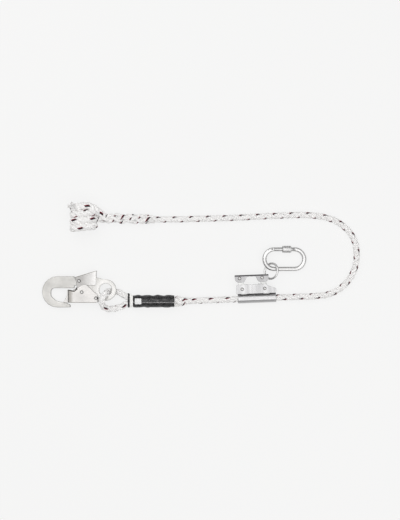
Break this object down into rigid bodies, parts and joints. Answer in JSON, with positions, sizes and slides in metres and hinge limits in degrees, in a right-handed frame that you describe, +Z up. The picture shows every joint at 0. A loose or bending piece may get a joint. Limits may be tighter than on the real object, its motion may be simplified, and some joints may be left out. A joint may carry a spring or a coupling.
{
  "type": "tree climbing lanyard",
  "caption": "Three-strand rope work-positioning lanyard with a spliced double-action snap hook, sliding cam rope adjuster, ring with oval screw-gate carabiner, and a stop knot.",
  "frame": {"origin": "on the floor under the middle of the metal parts and the splice, hook to carabiner", "axes": "+X from the snap hook towards the rope's bend, +Y from the adjuster's channel towards its pull bar, +Z up from the floor that the lanyard lies on"},
  "size_m": [0.7708, 0.2618, 0.0547],
  "materials": {
    "rope_white": "three-strand polyamide rope, matt white with maroon and black tracer yarns",
    "sleeve_black": "heat-shrunk glossy black",
    "tape_white": "satin white",
    "zinc_forging": "zinc-plated forged steel, satin",
    "zinc_bright": "zinc-plated pressed steel, bright",
    "zinc_lever": "zinc-plated pressed steel, grey",
    "adjuster_plate": "polished plated steel sheet",
    "cam_steel": "hardened steel, dull",
    "stainless": "polished stainless steel",
    "spring_steel": "spring wire"
  },
  "bodies": {
    "lanyard_rope": {"rope": "rope_white", "rope_eye": "rope_white", "eye_splice": "rope_white", "splice_sleeve": "sleeve_black", "sleeve_collar": "sleeve_black", "whipping_tape": "tape_white", "splice_label": "tape_white", "back_splice": "rope_white", "stop_knot": "rope_white"},
    "hook": {"hook_body": "zinc_forging", "gate_pivot_rivet": "zinc_forging", "lever_pivot_rivet": "zinc_forging", "gate_return_spring": "spring_steel", "lever_spring": "spring_steel"},
    "hook_gate": {"hook_gate": "zinc_bright", "gate_guide_rivet": "zinc_forging"},
    "lock_lever": {"lock_lever": "zinc_lever"},
    "adjuster": {"adjuster_shell": "adjuster_plate", "adjuster_face_plate": "adjuster_plate", "cam_pin_rear": "stainless", "cam_pin_front": "stainless", "cam_spring": "spring_steel"},
    "rear_cam": {"cam_rear": "cam_steel", "link_pin_rear": "stainless"},
    "front_cam": {"cam_front": "cam_steel"},
    "pull_bar": {"pull_bar": "adjuster_plate", "link_pin_front": "stainless"},
    "ring": {"harness_ring": "stainless"},
    "carabiner": {"carabiner_body": "stainless", "carabiner_hinge_pin": "stainless"},
    "carabiner_gate": {"carabiner_gate": "stainless", "latch_pin": "stainless", "carabiner_gate_spring": "spring_steel"},
    "screw_sleeve": {"screw_sleeve": "stainless"}
  },
  "joints": [
    {"name": "hook_swing", "type": "hinge", "parent": "lanyard_rope", "child": "hook", "pos_m": [-0.1657, -0.0265, 0.01987], "axis": [-0.0976, 0, 0.9952], "range_deg": [-45, 0]},
    {"name": "lock_lever_squeeze", "type": "hinge", "parent": "hook", "child": "lock_lever", "pos_m": [-0.22959, -0.0044, 0.01361], "axis": [-0.0976, 0, 0.9952], "range_deg": [-11, 0], "stiffness_Nm_per_rad": 0.6, "springref_deg": 5.73},
    {"name": "hook_gate_open", "type": "hinge", "parent": "hook", "child": "hook_gate", "pos_m": [-0.18819, -0.0462, 0.01766], "axis": [-0.0976, 0, 0.9952], "range_deg": [-16, 0], "stiffness_Nm_per_rad": 0.3, "springref_deg": 5.73},
    {"name": "adjuster_slide", "type": "slide", "parent": "lanyard_rope", "child": "adjuster", "axis": [0.9993, 0.0384, 0], "range_m": [-0.095, 0.08]},
    {"name": "rear_cam_turn", "type": "hinge", "parent": "adjuster", "child": "rear_cam", "pos_m": [0.16502, -0.02467, 0.0106], "axis": [0, 0, 1], "range_deg": [-10, 12], "stiffness_Nm_per_rad": 0.1},
    {"name": "front_cam_turn", "type": "hinge", "parent": "adjuster", "child": "front_cam", "pos_m": [0.21968, -0.02257, 0.0106], "axis": [0, 0, 1], "range_deg": [-10, 12]},
    {"name": "pull_bar_swing", "type": "hinge", "parent": "rear_cam", "child": "pull_bar", "pos_m": [0.15863, 0.00156, 0.0106], "axis": [0, 0, 1], "range_deg": [-12, 10]},
    {"name": "ring_turn", "type": "hinge", "parent": "pull_bar", "child": "ring", "pos_m": [0.22161, 0.01053, 0.0106], "axis": [0, 0, 1], "range_deg": [-5, 5]},
    {"name": "carabiner_swing", "type": "hinge", "parent": "ring", "child": "carabiner", "pos_m": [0.23529, 0.01936, 0.0152], "axis": [-0.5794, 0.1628, 0.7986], "range_deg": [-20, 20]},
    {"name": "carabiner_gate_open", "type": "hinge", "parent": "carabiner", "child": "carabiner_gate", "pos_m": [0.23796, 0.0722, 0.01342], "axis": [0.1045, 0, 0.9945], "range_deg": [-25, 0], "stiffness_Nm_per_rad": 0.05, "springref_deg": 11.46},
    {"name": "screw_sleeve_travel", "type": "slide", "parent": "carabiner_gate", "child": "screw_sleeve", "axis": [0.9945, 0, -0.1045], "range_m": [0, 0.009]}
  ],
  "couplings": [
    {"joint": "hook_gate_open", "follows": "lock_lever_squeeze", "ratio": 1.4545},
    {"joint": "front_cam_turn", "follows": "rear_cam_turn", "ratio": 1},
    {"joint": "pull_bar_swing", "follows": "rear_cam_turn", "ratio": -1}
  ]
}
